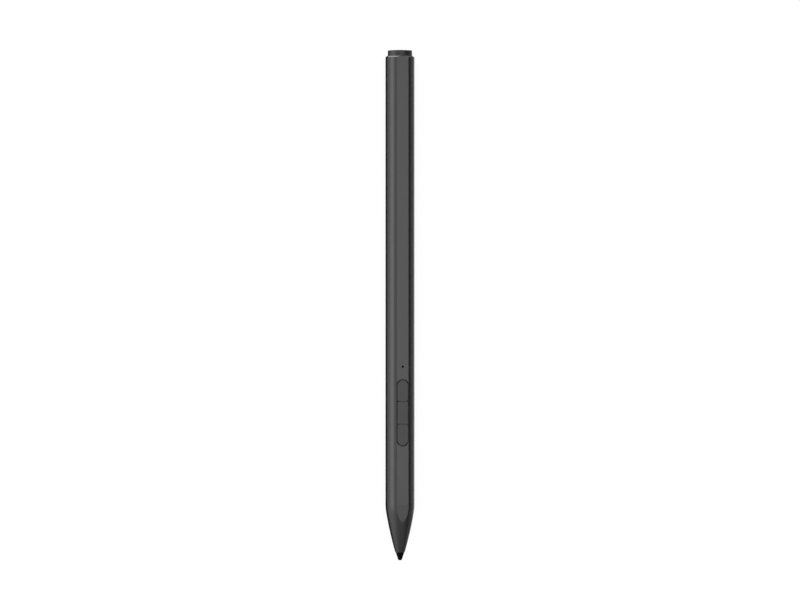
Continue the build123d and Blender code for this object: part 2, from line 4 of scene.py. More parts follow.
import bmesh
import bpy
from bpy.props import FloatProperty, FloatVectorProperty, PointerProperty
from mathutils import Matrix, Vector


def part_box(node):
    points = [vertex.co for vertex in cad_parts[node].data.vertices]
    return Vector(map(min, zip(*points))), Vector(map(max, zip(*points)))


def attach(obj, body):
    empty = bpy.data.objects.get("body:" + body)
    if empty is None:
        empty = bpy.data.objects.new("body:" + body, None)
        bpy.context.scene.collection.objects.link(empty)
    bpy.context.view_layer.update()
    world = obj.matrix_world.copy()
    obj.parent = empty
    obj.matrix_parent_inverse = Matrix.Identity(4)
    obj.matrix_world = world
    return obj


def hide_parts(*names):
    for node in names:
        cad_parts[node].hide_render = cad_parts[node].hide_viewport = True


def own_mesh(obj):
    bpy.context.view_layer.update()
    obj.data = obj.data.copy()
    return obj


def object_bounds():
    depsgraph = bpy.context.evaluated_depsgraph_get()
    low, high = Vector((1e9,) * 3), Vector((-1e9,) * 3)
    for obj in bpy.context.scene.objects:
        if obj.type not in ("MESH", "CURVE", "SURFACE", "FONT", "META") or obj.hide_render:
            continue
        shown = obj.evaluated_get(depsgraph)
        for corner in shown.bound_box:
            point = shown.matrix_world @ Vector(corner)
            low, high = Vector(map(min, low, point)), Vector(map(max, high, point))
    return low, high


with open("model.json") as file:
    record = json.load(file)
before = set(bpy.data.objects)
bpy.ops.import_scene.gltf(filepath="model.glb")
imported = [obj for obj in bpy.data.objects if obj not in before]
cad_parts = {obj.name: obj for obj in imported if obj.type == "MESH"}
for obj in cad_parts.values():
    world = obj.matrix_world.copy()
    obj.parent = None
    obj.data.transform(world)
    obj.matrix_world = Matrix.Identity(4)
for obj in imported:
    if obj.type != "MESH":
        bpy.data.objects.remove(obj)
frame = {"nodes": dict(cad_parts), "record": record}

bl_info = {
    "name": "Stylus pen",
    "version": (1, 0, 0),
    "blender": (4, 5, 0),
    "location": "3D View > Sidebar > Pen",
    "description": "Dresses the packed parts of a stylus pen and sets it on a studio table",
    "category": "Object",
}

# The frame is in metres. A station is a distance along the pen from the end of its nib, and a
# height is measured from the pen's axis towards its flat.
MM = 0.001
CAD_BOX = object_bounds()
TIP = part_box("nib")[0].y
AXIS_HEIGHT = sum(corner.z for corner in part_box("tail_button")) / 2

# How finely curves are drawn
SECTION_STEPS = 240
FLAT_STEPS = 16
LATHE_STEPS = 128
CORNER_STEPS = 12
ROUNDING_STEPS = 5
NOSE_STEPS = 32
SHOULDER_STEPS = 8
WIRE_SIDES = 16
COIL_STEPS = 40
RING_SPACING = 9 * MM

# Distance within which points are one, how far a cut runs past a wall, and the least bend that is an edge
WELD = 0.0005 * MM
OVERRUN = 1 * MM
SHARP_ANGLE = radians(32)

# Half angle that a ring keeps for the flat even where it is all round
LEAST_FLAT_ANGLE = radians(1.5)

# Tilts along the pen between which a face at the tail belongs to the rim's chamfer
CHAMFER_TILTS = (0.4, 0.95)

# Where the level top of a key starts, in roundings of its edge, so that it shades as level
LEVEL_TOP = 1.2

# Contacts on each side of the charging port's tongue
CONTACTS = 12

# Share by which the spring's turns close up at its ends
CLOSED_ENDS = 0.6

# A wave texture repeats each time that its place times its scale grows by this much
WAVE_REPEAT = pi / 10

# Floor of the studio, from its middle to an edge, the height of that edge and its squares a side
FLOOR_REACH = 6.0
FLOOR_EDGE = 0.4
FLOOR_SQUARES = 8

# Wall of the studio past the tip. Between these parts of a direction across the pen it is even, its
# right end keeps this share of its light, and along the pen it starts to show and shows alone here.
WALL_EVEN = (-0.4, 0.6)
WALL_END_SHARE = 0.2
WALL_FADE = (-0.2, -0.38)

# Cards on the floor, each with its colour and its edges across and along the pen. They are painted shade
# that only the pen's gloss shows, darkening the floor that the pen mirrors. The two that reach far meet at
# a seam by the nose.
CARD_THICKNESS = 0.1 * MM
CARD_REACH = 400 * MM
CARD_SEAM = -70 * MM
CARDS = {
    # The black card paints the pen's shadow into the floor that its left side mirrors. The grey ones paint
    # shade into the floor that its right side, nose and tail mirror.
    "black_card": ("#101010", (-12 * MM, 0), (-85.5 * MM, 85.5 * MM)),
    "grey_card": ("#d0d0d0", (14 * MM, CARD_REACH), (CARD_SEAM, CARD_REACH)),
    "nose_card": ("#b0b0b0", (8 * MM, CARD_REACH), (-CARD_REACH, CARD_SEAM)),
    "tail_card": ("#8c8c8c", (6 * MM, 30 * MM), (84 * MM, 120 * MM)),
}

# Distance of each lamp from the pen, its place along the pen and its size
SOFT_BOX = (0.9, 0, (0.7, 0.54))
STRIP = (0.5, 0.05, (0.26, 0.46))


def span(node):
    """Front and back stations, bottom and top heights and width of a node of the frame."""
    low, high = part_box(node)
    return low.y - TIP, high.y - TIP, low.z - AXIS_HEIGHT, high.z - AXIS_HEIGHT, high.x - low.x


MOUTH, BARREL_END, BARREL_BACK, FLAT_HEIGHT, BARREL_WIDTH = span("barrel")


def linear(code):
    """Linear colour with alpha for an sRGB hex code."""
    shares = [int(code[start:start + 2], 16) / 255 for start in (1, 3, 5)]
    return tuple(s / 12.92 if s <= 0.04045 else ((s + 0.055) / 1.055) ** 2.4 for s in shares) + (1.0,)


def length(name, description, default):
    """Property for a length, whose default is given in millimetres."""
    return FloatProperty(
        name=name, description=description, default=default * MM, unit="LENGTH", precision=6,
    )


def angle(name, description, default):
    """Property for an angle, whose default is given in degrees."""
    return FloatProperty(name=name, description=description, default=radians(default), unit="ROTATION")


def level(name, description, default):
    """Property for a plain number."""
    return FloatProperty(name=name, description=description, default=default, min=0)


def colour(name, description, code):
    """Property for a colour, whose default is an sRGB hex code."""
    return FloatVectorProperty(
        name=name, description=description, default=linear(code), size=4, subtype="COLOR",
    )


class BarrelSizes(bpy.types.PropertyGroup):
    """Sizes of the barrel."""

    radius: length("Radius", "Outside of the barrel", BARREL_WIDTH / 2 / MM)
    wall: length("Wall", "Thickness of the barrel", 0.7)
    flat_softness: length("Flat softness", "How far the edges of the flat are rounded over", 0.012)
    flat_lean: angle("Flat lean", "How far the flat leans in on the nose", 3.6)
    nose_length: length("Nose length", "From the mouth to where the barrel is full round", 15.94)
    shoulder_radius: length("Shoulder radius", "Bend from the barrel into the nose", 18.0)
    shoulder_turn: angle("Shoulder turn", "How far the shoulder turns in", 9.7)
    mouth_radius: length("Mouth radius", "Outside of the nose at the nib", 1.55)
    lip_bore: length("Lip bore", "Radius of the hole that the nib stands in", 1.4)
    lip_length: length("Lip length", "How deep that hole is", 2.84)
    lip_step: length("Lip step", "Step from that hole out to the hollow behind it", 0.35)
    ledge: length("Ledge", "Step that the guide sleeve's flange sits on", 0.45)
    sleeve_flange: length("Sleeve flange", "Thickness of that flange", 0.8)
    rim_chamfer: length("Rim chamfer", "Bright chamfer round the tail", 0.4)
    edge_break: length("Edge break", "Rounding of the machined edges", 0.05)
    slot_flare: length("Slot flare", "Broken edge round the key slot", 0.08)
    light_flare: length("Light flare", "Broken edge round the light's hole", 0.03)
    light_radius: length("Light radius", "Hole for the signal light", 0.38)
    light_gap: length("Light gap", "Room between the signal light and its hole", 0.03)
    light_dome: length("Light dome", "How far the end of the signal light is domed", 0.06)
    seat_gap: length("Seat gap", "Room between the barrel and the parts that sit in it", 0.1)


class KeySizes(bpy.types.PropertyGroup):
    """Sizes of the keys and of the bridge between them."""

    gap: length("Gap", "Room between a key's cap and its slot", 0.17)
    end_room: length("End room", "Further room at the round ends of the slot", 0.17)
    edge: length("Edge", "Rounding of the top edges", 0.06)
    corner: length("Corner", "Corner radius where a key meets the bridge", 0.7)
    bridge_margin: length("Bridge margin", "How much narrower the bridge is on each side", 0.04)
    flange_lip: length("Flange lip", "How far a flange reaches under the wall", 0.45)
    flange_thickness: length("Flange thickness", "Thickness of the flanges", 0.5)
    post_length: length("Post length", "Height of the post that presses the switch", 0.8)
    post_radius: length("Post radius", "Radius of that post", 0.75)
    foot_width: length("Foot width", "Width of the bridge's foot", 2.6)
    foot_length: length("Foot length", "Length of the bridge's foot", 5.0)


class EndSizes(bpy.types.PropertyGroup):
    """Sizes of the nib and of the tail button."""

    point_radius: length("Point radius", "Rounding of the nib's point", 0.75)
    point_angle: angle("Point angle", "Half angle of the nib's cone", 18.0)
    shank_radius: length("Shank radius", "Radius of the nib's shank", 0.8)
    shank_length: length("Shank length", "Length of the nib's shank", 5.5)
    nib_edge: length("Nib edge", "Rounding of the nib's edges", 0.1)
    crown: length("Crown", "How far the tail button is crowned", 0.15)
    rim_edge: length("Rim edge", "Rounding of the tail button's rim", 0.28)
    skirt_wall: length("Skirt wall", "Thickness of the tail button's skirt", 0.8)
    head_top: length("Head top", "Thickness of the tail button's top", 1.4)
    head_gap: length("Head gap", "From the tail plug to the button's skirt", 1.0)
    stem_radius: length("Stem radius", "Radius of the tail button's stem", 1.2)
    snap_height: length("Snap height", "Length of the catch on the stem", 0.5)
    snap_lip: length("Snap lip", "How far that catch stands out", 0.4)
    snap_gap: length("Snap gap", "From that catch to the tail plug", 0.1)


class InnerSizes(bpy.types.PropertyGroup):
    """Sizes of the charging port and of the soft parts inside the barrel."""

    shell_wall: length("Shell wall", "Thickness of the charging port's shell", 0.3)
    contact_pitch: length("Contact pitch", "From contact to contact on the port's tongue", 0.5)
    contact_width: length("Contact width", "Width of each contact", 0.25)
    contact_proud: length("Contact proud", "How far a contact stands out of the tongue", 0.02)
    contact_setback: length("Contact setback", "From the tongue's end to the contacts", 0.35)
    spring_wire: length("Spring wire", "Diameter of the return spring's wire", 0.25)
    spring_turns: level("Spring turns", "Turns of the return spring", 3.5)
    pad_edge: length("Pad edge", "Rounding of the pad on the force sensor", 0.12)
    lead_bare: length("Bare lead", "How far the battery leads are stripped", 0.8)
    core_radius: length("Core radius", "Radius of the wire in a battery lead", 0.2)
    film_thickness: length("Film thickness", "Thickness of the flat cable", 0.12)
    film_glue: length("Film glue", "Glue between the cell and the flat cable", 0.03)
    film_bend: length("Film bend", "Bends of the flat cable", 0.6)


class PenColours(bpy.types.PropertyGroup):
    """Colours of the finishes."""

    barrel: colour("Barrel", "Anodised aluminium of the barrel", "#1c1c1d")
    rim: colour("Rim", "Cut chamfer at the tail", "#9a9a9c")
    button: colour("Tail button", "Anodised aluminium of the tail button", "#1b1b1c")
    keys: colour("Keys", "Moulded plastic of the keys and their bridge", "#1a1a1b")
    nib: colour("Nib", "Moulded plastic of the nib", "#050505")
    light: colour("Light", "Smoked plastic of the signal light", "#050506")
    board: colour("Board", "Solder mask of the circuit boards", "#1d5a37")
    film: colour("Film", "Film of the flat cable", "#b5702a")
    copper: colour("Copper", "Tracks in the flat cable", "#c98a4b")


class PenStage(bpy.types.PropertyGroup):
    """Camera, floor and light."""

    view_turn: angle("View turn", "How far the flat faces to the right of the camera", 12.2)
    view_distance: length("View distance", "From the camera to the pen", 1900)
    view_width: length("View width", "What the picture spans at the pen", 262.1)
    aim: length("Aim", "How far the picture's middle lies towards the tail from the pen's", 1.72)
    left_level: level("Left level", "Brightness of the studio at the left", 1.5)
    right_level: level("Right level", "Brightness of the studio at the right", 0.03)
    front_level: level("Front level", "Brightness of the studio's wall past the tip", 0.57)
    floor_glow: level("Floor glow", "White that the floor shows on top of its lit paint", 0.85)
    top_power: level("Top light", "Power of the soft box overhead, in watts", 1.8)
    top_turn: angle("Top turn", "How far the soft box stands to the right of overhead", 8.0)
    side_power: level("Side light", "Power of the strip light at the left, in watts", 0.65)
    side_turn: angle("Side turn", "How far the strip light stands from overhead", -79.0)


def at(across, station, height):
    """Point at a distance across the pen, a station along it and a height over its axis."""
    return Vector((across, TIP + station, AXIS_HEIGHT + height))


def rounded(points, radius):
    """Line of points with its inner corners turned into arcs."""
    points = [Vector(point) for point in points]
    line = [points[0]]
    for before, corner, after in zip(points, points[1:], points[2:]):
        back = (before - corner).normalized()
        ahead = (after - corner).normalized()
        half = acos(max(-1, min(1, back.dot(ahead)))) / 2
        centre = corner + (back + ahead).normalized() * radius / sin(half)
        start = corner + back * radius / tan(half) - centre
        end = corner + ahead * radius / tan(half) - centre
        bend = pi - 2 * half
        for step in range(ROUNDING_STEPS + 1):
            turn = bend * step / ROUNDING_STEPS
            line.append(centre + (start * sin(bend - turn) + end * sin(turn)) / sin(bend))
    return line + [points[-1]]


def skin(rings, closed=False):
    """Mesh over rings with the same number of points each, capped unless it closes on itself."""
    mesh = bmesh.new()
    rows = [[mesh.verts.new(point) for point in ring] for ring in rings]
    pairs = list(zip(rows, rows[1:]))
    if closed:
        pairs.append((rows[-1], rows[0]))
    else:
        mesh.faces.new(reversed(rows[0]))
        mesh.faces.new(rows[-1])
    for low, high in pairs:
        for here, there in zip(range(-1, len(low) - 1), range(len(low))):
            mesh.faces.new((low[here], low[there], high[there], high[here]))
    bmesh.ops.remove_doubles(mesh, verts=mesh.verts, dist=WELD)
    bmesh.ops.recalc_face_normals(mesh, faces=mesh.faces)
    return mesh


def lathe(outline):
    """Mesh turned round the pen's axis from an outline of stations and radii."""
    turns = [2 * pi * step / LATHE_STEPS for step in range(LATHE_STEPS)]
    return skin([[at(r * sin(t), station, r * cos(t)) for t in turns] for station, r in outline])


def plan(width, front, back, front_corner, back_corner):
    """Outline from above of a bar along the pen, with its own corner radius at each end."""
    corners = (
        (1, front + front_corner, front_corner, -pi / 2),
        (1, back - back_corner, back_corner, 0),
        (-1, back - back_corner, back_corner, pi / 2),
        (-1, front + front_corner, front_corner, pi),
    )
    outline = []
    for side, station, radius, start in corners:
        for step in range(CORNER_STEPS + 1):
            turn = start + pi / 2 * step / CORNER_STEPS
            outline.append((side * (width / 2 - radius) + radius * cos(turn), station + radius * sin(turn)))
    return outline


def disc(radius, station):
    """Outline from above of a round on the pen's middle line."""
    return plan(2 * radius, station - radius, station + radius, radius, radius)


def layered(*layers):
    """Mesh that rises through outlines from above, each at its height over the axis."""
    return skin([[at(x, station, height) for x, station in outline] for outline, height in layers])


def tube(points, radius, up):
    """Round wire along points, none of whose runs is in line with a direction up."""
    rings = []
    for here, point in enumerate(points):
        run = (points[min(here + 1, len(points) - 1)] - points[max(here - 1, 0)]).normalized()
        side = run.cross(up).normalized()
        lift = side.cross(run)
        turns = [2 * pi * step / WIRE_SIDES for step in range(WIRE_SIDES)]
        rings.append([point + radius * (side * cos(turn) + lift * sin(turn)) for turn in turns])
    return skin(rings)


def joined(*groups):
    """One mesh from groups of meshes, whose faces take a material slot for each group."""
    whole = bmesh.new()
    for slot, group in enumerate(groups):
        for part in group:
            for face in part.faces:
                face.material_index = slot
            data = bpy.data.meshes.new("part")
            part.to_mesh(data)
            part.free()
            whole.from_mesh(data)
            bpy.data.meshes.remove(data)
    return whole


def new_object(context, name, mesh, finishes=()):
    """Object in the scene that uses up a mesh, with its finishes."""
    data = bpy.data.meshes.new(name)
    mesh.to_mesh(data)
    mesh.free()
    for finish in finishes:
        data.materials.append(finish)
    made = bpy.data.objects.new(name, data)
    context.scene.collection.objects.link(made)
    return made


def add_piece(context, name, mesh, finishes, body, node):
    """Object made from a mesh, with its finishes, on a body of the frame in place of a node."""
    piece = new_object(context, name, mesh, finishes)
    piece.data.shade_smooth()
    piece.data.set_sharp_from_angle(angle=SHARP_ANGLE)
    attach(piece, body)
    if node:
        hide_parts(node)
    return piece


def cut(context, mesh, cutters):
    """Mesh with closed cutters taken out of it."""
    objects = [new_object(context, "cut", part) for part in (mesh, *cutters)]
    body = objects[0]
    for cutter in objects[1:]:
        modifier = body.modifiers.new("cut", "BOOLEAN")
        modifier.operation = "DIFFERENCE"
        modifier.solver = "EXACT"
        modifier.object = cutter
    context.view_layer.update()
    result = bmesh.new()
    result.from_object(body, context.evaluated_depsgraph_get())
    for item in objects:
        data = item.data
        bpy.data.objects.remove(item)
        bpy.data.meshes.remove(data)
    bmesh.ops.remove_doubles(result, verts=result.verts, dist=WELD)
    if not result.faces:
        raise RuntimeError("the cuts left nothing of the mesh")
    return result


def add(tree, kind, inputs=None, **settings):
    """Add a node to a material, with its settings and its inputs set or linked."""
    made = tree.nodes.new(kind)
    for name, value in settings.items():
        setattr(made, name, value)
    for name, value in (inputs or {}).items():
        if isinstance(value, bpy.types.NodeSocket):
            tree.links.new(value, made.inputs[name])
        else:
            made.inputs[name].default_value = value
    return made


def new_material(name):
    """Empty material, its node tree and the frame's coordinates in it."""
    material = bpy.data.materials.new(name)
    material.use_nodes = True
    tree = material.node_tree
    tree.nodes.clear()
    return material, tree, add(tree, "ShaderNodeTexCoord").outputs["Object"]


def shade(tone, factor):
    """Colour made lighter or darker by a factor."""
    return tuple(min(1, part * factor) for part in tone[:3]) + (1.0,)


def blasted_aluminium(colours):
    """Bead-blasted aluminium, anodised black, of the barrel."""
    # Blasting leaves pits all over, so the eye sees an even satin that spreads every highlight. The
    # dye fills a clear oxide on the metal, so it shades as a dark coat and not as bare metal.
    material, tree, place = new_material("aluminium_bead_blasted_anodised_black")
    # The pits are 0.05 mm wide. They are drawn at 0.12 mm, the finest that a close view shows, and
    # as a mottle of 0.6 mm, two pixels of the picture, in the gloss.
    pits = add(tree, "ShaderNodeTexNoise", {"Vector": place, "Scale": 1 / (0.12 * MM), "Detail": 2.0})
    mottle = add(tree, "ShaderNodeTexNoise", {"Vector": place, "Scale": 1 / (0.6 * MM), "Detail": 3.0})
    # The dye takes a little unevenly, over about 14 mm.
    dye = add(tree, "ShaderNodeTexNoise", {"Vector": place, "Scale": 1 / (14 * MM), "Detail": 3.0})
    tone = add(
        tree, "ShaderNodeMix",
        {0: dye.outputs["Fac"], 6: shade(colours.barrel, 0.94), 7: shade(colours.barrel, 1.06)},
        data_type="RGBA",
    )
    gloss = add(
        tree, "ShaderNodeMapRange", {"Value": mottle.outputs["Fac"], "To Min": 0.28, "To Max": 0.33},
    )
    relief = add(
        tree, "ShaderNodeBump",
        {"Height": pits.outputs["Fac"], "Distance": 0.02 * MM, "Strength": 0.6},
    )
    shader = add(
        tree, "ShaderNodeBsdfPrincipled",
        {
            "Base Color": tone.outputs[2], "Roughness": gloss.outputs["Result"],
            "Normal": relief.outputs["Normal"], "Specular IOR Level": 0.66,
        },
    )
    add(tree, "ShaderNodeOutputMaterial", {"Surface": shader.outputs["BSDF"]})
    return material


def cut_aluminium(colours):
    """Aluminium, chamfered by a diamond tool after it was anodised, of the barrel's rim."""
    # The bare cut metal gives the eye one thin bright line with fine turning rings in it.
    material, tree, place = new_material("aluminium_diamond_cut")
    # The tool moves 0.03 mm a turn. Its rings are drawn at 0.1 mm, four across the chamfer.
    rings = add(
        tree, "ShaderNodeTexWave",
        {"Vector": place, "Scale": WAVE_REPEAT / (0.1 * MM), "Distortion": 0.4},
        wave_type="BANDS", bands_direction="Y",
    )
    gloss = add(
        tree, "ShaderNodeMapRange", {"Value": rings.outputs["Fac"], "To Min": 0.2, "To Max": 0.3},
    )
    relief = add(
        tree, "ShaderNodeBump",
        {"Height": rings.outputs["Fac"], "Distance": 0.002 * MM, "Strength": 0.3},
    )
    shader = add(
        tree, "ShaderNodeBsdfPrincipled",
        {
            "Base Color": tuple(colours.rim), "Roughness": gloss.outputs["Result"],
            "Normal": relief.outputs["Normal"], "Metallic": 1.0,
        },
    )
    add(tree, "ShaderNodeOutputMaterial", {"Surface": shader.outputs["BSDF"]})
    return material


def turned_aluminium(colours):
    """Turned aluminium, anodised black, of the tail button."""
    # Turning leaves faint rings round the axis, which catch the light on the crown as a soft fan.
    material, tree, place = new_material("aluminium_turned_anodised_black")
    # The tool moves 0.06 mm a turn. Its rings are drawn at 0.25 mm, and the pits that etching leaves
    # at 0.14 mm, so that a close view shows them.
    centred = add(tree, "ShaderNodeMapping", {"Vector": place, "Location": (0, 0, -AXIS_HEIGHT)})
    rings = add(
        tree, "ShaderNodeTexWave",
        {"Vector": centred.outputs["Vector"], "Scale": WAVE_REPEAT / (0.25 * MM), "Distortion": 0.3},
        wave_type="RINGS", rings_direction="Y",
    )
    pits = add(tree, "ShaderNodeTexNoise", {"Vector": place, "Scale": 1 / (0.14 * MM), "Detail": 2.0})
    both = add(tree, "ShaderNodeMix", {0: 0.4, 2: rings.outputs["Fac"], 3: pits.outputs["Fac"]})
    # Grooves round the axis spread a highlight along it.
    round_axis = add(tree, "ShaderNodeTangent", direction_type="RADIAL", axis="Y")
    gloss = add(
        tree, "ShaderNodeMapRange", {"Value": both.outputs[0], "To Min": 0.46, "To Max": 0.54},
    )
    relief = add(
        tree, "ShaderNodeBump",
        {"Height": both.outputs[0], "Distance": 0.02 * MM, "Strength": 0.5},
    )
    shader = add(
        tree, "ShaderNodeBsdfPrincipled",
        {
            "Base Color": tuple(colours.button), "Roughness": gloss.outputs["Result"],
            "Normal": relief.outputs["Normal"], "Tangent": round_axis.outputs["Tangent"],
            "Anisotropic": 0.5, "Anisotropic Rotation": 0.25, "Specular IOR Level": 0.66,
        },
    )
    add(tree, "ShaderNodeOutputMaterial", {"Surface": shader.outputs["BSDF"]})
    return material


def textured_polycarbonate(colours):
    """Polycarbonate, moulded in a spark-eroded tool, of the keys and their bridge."""
    # The tool's texture gives the eye a fine pebbled matt, a shade darker than the metal round it.
    material, tree, place = new_material("polycarbonate_moulded_fine_matt")
    # The pebbles are 0.08 mm wide. They are drawn at 0.2 mm, so that a close view shows them.
    pebbles = add(
        tree, "ShaderNodeTexVoronoi", {"Vector": place, "Scale": 1 / (0.2 * MM)}, feature="SMOOTH_F1",
    )
    gloss = add(
        tree, "ShaderNodeMapRange", {"Value": pebbles.outputs["Distance"], "To Min": 0.34, "To Max": 0.44},
    )
    relief = add(
        tree, "ShaderNodeBump",
        {"Height": pebbles.outputs["Distance"], "Distance": 0.02 * MM, "Strength": 0.5},
    )
    shader = add(
        tree, "ShaderNodeBsdfPrincipled",
        {
            "Base Color": tuple(colours.keys), "Roughness": gloss.outputs["Result"],
            "Normal": relief.outputs["Normal"], "IOR": 1.58,
        },
    )
    add(tree, "ShaderNodeOutputMaterial", {"Surface": shader.outputs["BSDF"]})
    return material


def moulded_acetal(colours):
    """Moulded acetal of the nib."""
    # Acetal is waxy and dull, so the eye sees a dense black with hardly a highlight, which is rubbed a
    # little smoother at the point.
    material, tree, place = new_material("acetal_moulded_black")
    # Flow marks from the mould are about 0.3 mm wide.
    marks = add(tree, "ShaderNodeTexNoise", {"Vector": place, "Scale": 1 / (0.3 * MM), "Detail": 4.0})
    along = add(tree, "ShaderNodeSeparateXYZ", {"Vector": place})
    rubbed = add(
        tree, "ShaderNodeMapRange",
        {
            "Value": along.outputs["Y"], "From Min": TIP, "From Max": TIP + 1.5 * MM,
            "To Min": 0.34, "To Max": 0.5,
        },
    )
    gloss = add(
        tree, "ShaderNodeMath",
        {0: marks.outputs["Fac"], 1: 0.08, 2: rubbed.outputs["Result"]}, operation="MULTIPLY_ADD",
    )
    relief = add(
        tree, "ShaderNodeBump",
        {"Height": marks.outputs["Fac"], "Distance": 0.004 * MM, "Strength": 0.3},
    )
    shader = add(
        tree, "ShaderNodeBsdfPrincipled",
        {
            "Base Color": tuple(colours.nib), "Roughness": gloss.outputs["Value"],
            "Normal": relief.outputs["Normal"], "IOR": 1.48, "Specular IOR Level": 0.06,
        },
    )
    add(tree, "ShaderNodeOutputMaterial", {"Surface": shader.outputs["BSDF"]})
    return material


def smoked_polycarbonate(colours):
    """Polycarbonate, moulded clear with a dark smoke dye, of the signal light."""
    # While the light is off, the eye sees a black dot, whose polished end hardly glints in its hole.
    material, tree, place = new_material("polycarbonate_smoked_polished")
    # Haze in the polish is about 0.2 mm wide.
    haze = add(tree, "ShaderNodeTexNoise", {"Vector": place, "Scale": 1 / (0.2 * MM)})
    gloss = add(
        tree, "ShaderNodeMapRange", {"Value": haze.outputs["Fac"], "To Min": 0.08, "To Max": 0.16},
    )
    shader = add(
        tree, "ShaderNodeBsdfPrincipled",
        {
            "Base Color": tuple(colours.light), "Roughness": gloss.outputs["Result"], "IOR": 1.58,
            "Specular IOR Level": 0.03,
        },
    )
    add(tree, "ShaderNodeOutputMaterial", {"Surface": shader.outputs["BSDF"]})
    return material


def moulded_plastic(name, code, grain, rough):
    """Moulded plastic or rubber of an inner part."""
    # The mould's grain gives the eye a matt surface with a slight change of tone.
    material, tree, place = new_material(name)
    speck = add(tree, "ShaderNodeTexNoise", {"Vector": place, "Scale": 1 / grain, "Detail": 3.0})
    tone = add(
        tree, "ShaderNodeMix",
        {0: speck.outputs["Fac"], 6: shade(linear(code), 0.9), 7: shade(linear(code), 1.1)},
        data_type="RGBA",
    )
    relief = add(
        tree, "ShaderNodeBump",
        {"Height": speck.outputs["Fac"], "Distance": 0.005 * MM, "Strength": 0.3},
    )
    shader = add(
        tree, "ShaderNodeBsdfPrincipled",
        {
            "Base Color": tone.outputs[2], "Roughness": rough, "Normal": relief.outputs["Normal"],
            "IOR": 1.54,
        },
    )
    add(tree, "ShaderNodeOutputMaterial", {"Surface": shader.outputs["BSDF"]})
    return material


def drawn_metal(name, code, streak, rough):
    """Drawn, stamped or plated metal of an inner part."""
    # Drawing leaves fine streaks along the pen, so the eye sees a bright metal with a silky grain.
    material, tree, place = new_material(name)
    # The streaks are twenty times as long as they are wide.
    stretched = add(tree, "ShaderNodeMapping", {"Vector": place, "Scale": (1, 0.05, 1)})
    lines = add(
        tree, "ShaderNodeTexNoise",
        {"Vector": stretched.outputs["Vector"], "Scale": 1 / streak, "Detail": 2.0},
    )
    gloss = add(
        tree, "ShaderNodeMapRange",
        {"Value": lines.outputs["Fac"], "To Min": rough - 0.06, "To Max": rough + 0.06},
    )
    relief = add(
        tree, "ShaderNodeBump",
        {"Height": lines.outputs["Fac"], "Distance": 0.003 * MM, "Strength": 0.3},
    )
    shader = add(
        tree, "ShaderNodeBsdfPrincipled",
        {
            "Base Color": linear(code), "Roughness": gloss.outputs["Result"],
            "Normal": relief.outputs["Normal"], "Metallic": 1.0,
        },
    )
    add(tree, "ShaderNodeOutputMaterial", {"Surface": shader.outputs["BSDF"]})
    return material


def masked_laminate(colours):
    """Glass laminate under green solder mask, of the circuit boards."""
    # The mask is glossy, and copper tracks under it show the eye paler, slightly raised lines.
    material, tree, place = new_material("glass_laminate_solder_mask")
    # Tracks lie 0.5 mm apart.
    tracks = add(
        tree, "ShaderNodeTexBrick",
        {
            "Vector": place, "Color1": tuple(colours.board), "Color2": shade(colours.board, 0.9),
            "Mortar": shade(colours.board, 1.5), "Scale": 1 / MM, "Mortar Size": 0.05,
            "Brick Width": 1.4, "Row Height": 0.5,
        },
    )
    relief = add(
        tree, "ShaderNodeBump",
        {"Height": tracks.outputs["Fac"], "Distance": 0.02 * MM, "Strength": 0.5},
    )
    shader = add(
        tree, "ShaderNodeBsdfPrincipled",
        {
            "Base Color": tracks.outputs["Color"], "Roughness": 0.28,
            "Normal": relief.outputs["Normal"], "IOR": 1.55,
        },
    )
    add(tree, "ShaderNodeOutputMaterial", {"Surface": shader.outputs["BSDF"]})
    return material


def tracked_film(colours):
    """Polyimide film, laminated over copper tracks, of the flat cable."""
    # The amber film is clear enough for the eye to see paler copper lines along it.
    material, tree, place = new_material("polyimide_film_copper_tracks")
    # Tracks lie 0.3 mm apart.
    tracks = add(
        tree, "ShaderNodeTexWave", {"Vector": place, "Scale": WAVE_REPEAT / (0.3 * MM)},
        wave_type="BANDS", bands_direction="X",
    )
    tone = add(
        tree, "ShaderNodeMix",
        {0: tracks.outputs["Fac"], 6: tuple(colours.film), 7: tuple(colours.copper)}, data_type="RGBA",
    )
    relief = add(
        tree, "ShaderNodeBump",
        {"Height": tracks.outputs["Fac"], "Distance": 0.01 * MM, "Strength": 0.4},
    )
    shader = add(
        tree, "ShaderNodeBsdfPrincipled",
        {
            "Base Color": tone.outputs[2], "Roughness": 0.3, "Normal": relief.outputs["Normal"],
            "IOR": 1.7,
        },
    )
    add(tree, "ShaderNodeOutputMaterial", {"Surface": shader.outputs["BSDF"]})
    return material


def inner_finishes(colours):
    """Finish of each material slot whose nodes keep the frame's shapes."""
    return {
        "inner_plastic": moulded_plastic("polycarbonate_moulded_black", "#2a2a2b", 0.2 * MM, 0.5),
        "sensor_plastic": moulded_plastic("liquid_crystal_polymer_moulded", "#a39e92", 0.15 * MM, 0.55),
        "switch_plastic": moulded_plastic("nylon_moulded_black", "#3a3a3c", 0.12 * MM, 0.45),
        "chip_plastic": moulded_plastic("epoxy_transfer_moulded", "#202124", 0.08 * MM, 0.6),
        "spring_steel": drawn_metal("steel_machined_bright", "#b9bcc0", 0.05 * MM, 0.28),
        "cell_can": drawn_metal("steel_can_deep_drawn", "#c2c5c9", 0.15 * MM, 0.35),
        "magnet_nickel": drawn_metal("magnet_nickel_plated", "#cfd1d4", 0.2 * MM, 0.25),
        "circuit_board": masked_laminate(colours),
    }


